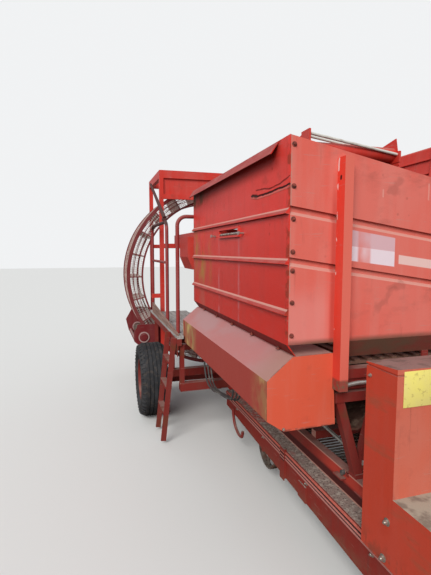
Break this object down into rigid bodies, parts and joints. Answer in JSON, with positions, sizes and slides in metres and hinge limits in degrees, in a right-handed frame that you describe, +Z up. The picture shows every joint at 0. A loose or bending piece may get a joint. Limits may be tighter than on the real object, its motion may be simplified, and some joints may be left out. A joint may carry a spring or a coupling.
{
  "type": "potato harvester",
  "caption": "Trailed one-row potato harvester with digging share, rod webs, ring elevator, picking table and a side bunker with a folding unloading boom.",
  "frame": {"origin": "middle of the base of the whole machine's box, on the ground", "axes": "+X to the machine's left, +Y to its rear (it is towed along -Y), +Z up"},
  "size_m": [2.3097, 7.5827, 2.609],
  "materials": {
    "red": "faded dark red paint, dusty",
    "salmon": "faded light red paint, chalky",
    "orange": "orange red paint, scuffed",
    "dark_red": "dark red paint, dirty",
    "steel": "worn steel with brown dust",
    "tyre": "dusty black tyre",
    "rod_steel": "bright piston rod",
    "barrel": "black paint",
    "timber": "grey weathered boards",
    "kick": "light brown plywood"
  },
  "bodies": {
    "machine": {"frame_rails": "dark_red", "side_plate_right": "red", "side_plate_left": "red", "main_web": "steel", "haulm_web": "steel", "web_rollers": "dark_red", "haulm_web_frame": "red", "digging_share": "steel", "coulter_frame": "red", "axle": "dark_red", "bunker_wall_right": "red", "bunker_wall_front": "salmon", "bunker_wall_rear": "red", "bunker_wall_left": "red", "bunker_floor": "steel", "floor_housing": "orange", "bunker_subframe": "dark_red", "boom_brackets": "dark_red", "bunker_post": "salmon", "filling_conveyor": "red", "picking_table": "red", "stone_box": "dark_red", "portal_front": "red", "portal_rear": "red", "roller_bracket_right": "red", "roller_bracket_left": "red", "platform_frame": "dark_red", "platform_boards": "timber", "kick_boards": "kick", "handrails": "red", "ladder": "dark_red", "control_lever": "red", "gearbox": "dark_red", "guard_upper": "orange", "guard_lower": "orange"},
    "wheel_right": {"tyre_right": "tyre", "rim_right": "red"},
    "wheel_left": {"tyre_left": "tyre", "rim_left": "red"},
    "ring": {"ring_elevator": "dark_red"},
    "roller_right": {"ring_roller_right": "steel"},
    "roller_left": {"ring_roller_left": "steel"},
    "disc_right": {"disc_coulter_right": "steel"},
    "disc_left": {"disc_coulter_left": "steel"},
    "ridge_roller": {"ridge_roller": "red"},
    "guide_wheel": {"guide_wheel": "steel"},
    "drawbar": {"drawbar": "red", "jack_tube": "steel"},
    "jack": {"jack_leg": "steel"},
    "drawbar_barrel": {"drawbar_barrel": "barrel"},
    "drawbar_rod": {"drawbar_rod": "rod_steel"},
    "boom": {"unloading_boom": "red"},
    "boom_barrel": {"boom_barrel": "barrel"},
    "boom_rod": {"boom_rod": "rod_steel"}
  },
  "joints": [
    {"name": "wheel_right_spin", "type": "hinge", "parent": "machine", "child": "wheel_right", "pos_m": [-1.005, 1.64058, 0.365], "axis": [1, 0, 0], "continuous": true},
    {"name": "wheel_left_spin", "type": "hinge", "parent": "machine", "child": "wheel_left", "pos_m": [1.005, 1.64058, 0.365], "axis": [1, 0, 0], "continuous": true},
    {"name": "ring_spin", "type": "hinge", "parent": "machine", "child": "ring", "pos_m": [0, 2.89058, 1.345], "axis": [0, 1, 0], "continuous": true},
    {"name": "roller_right_spin", "type": "hinge", "parent": "machine", "child": "roller_right", "pos_m": [-0.97499, 2.89058, 0.62001], "axis": [0, 1, 0], "continuous": true},
    {"name": "roller_left_spin", "type": "hinge", "parent": "machine", "child": "roller_left", "pos_m": [0.97499, 2.89058, 0.62001], "axis": [0, 1, 0], "continuous": true},
    {"name": "disc_right_spin", "type": "hinge", "parent": "machine", "child": "disc_right", "pos_m": [-0.345, -2.68942, 0.322], "axis": [1, 0, 0], "continuous": true},
    {"name": "disc_left_spin", "type": "hinge", "parent": "machine", "child": "disc_left", "pos_m": [0.345, -2.68942, 0.322], "axis": [1, 0, 0], "continuous": true},
    {"name": "ridge_roller_spin", "type": "hinge", "parent": "machine", "child": "ridge_roller", "pos_m": [0, -2.99942, 0.3], "axis": [1, 0, 0], "continuous": true},
    {"name": "guide_wheel_spin", "type": "hinge", "parent": "machine", "child": "guide_wheel", "pos_m": [-0.352, 0.16058, 0.235], "axis": [1, 0, 0], "continuous": true},
    {"name": "drawbar_swing", "type": "hinge", "parent": "machine", "child": "drawbar", "pos_m": [0.62, -1.78942, 0.47], "axis": [0, 0, 1], "range_deg": [-7, 15]},
    {"name": "drawbar_barrel_swing", "type": "hinge", "parent": "machine", "child": "drawbar_barrel", "pos_m": [0.395, -1.72142, 0.512], "axis": [0, 0, 1], "range_deg": [-8, 14]},
    {"name": "drawbar_rod_slide", "type": "slide", "parent": "drawbar_barrel", "child": "drawbar_rod", "axis": [0.1982, -0.9802, 0], "range_m": [-0.03, 0.06]},
    {"name": "jack_lift", "type": "slide", "parent": "drawbar", "child": "jack", "axis": [0, 0, 1], "range_m": [0, 0.29]},
    {"name": "boom_fold", "type": "hinge", "parent": "machine", "child": "boom", "pos_m": [0.862, 0.01858, 1.01], "axis": [0, 1, 0], "range_deg": [0, 80]},
    {"name": "boom_barrel_swing", "type": "hinge", "parent": "machine", "child": "boom_barrel", "pos_m": [0.8, 0.01858, 0.64], "axis": [0, 1, 0], "range_deg": [0, 48]},
    {"name": "boom_rod_slide", "type": "slide", "parent": "boom_barrel", "child": "boom_rod", "axis": [0.1716, 0, 0.9852], "range_m": [-0.21, 0]}
  ],
  "couplings": [
    {"joint": "drawbar_barrel_swing", "follows": "drawbar_swing", "ratio": 0.81},
    {"joint": "drawbar_rod_slide", "follows": "drawbar_swing", "m_per_rad": 0.2},
    {"joint": "boom_barrel_swing", "follows": "boom_fold", "ratio": 0.574},
    {"joint": "boom_rod_slide", "follows": "boom_fold", "m_per_rad": -0.143}
  ]
}
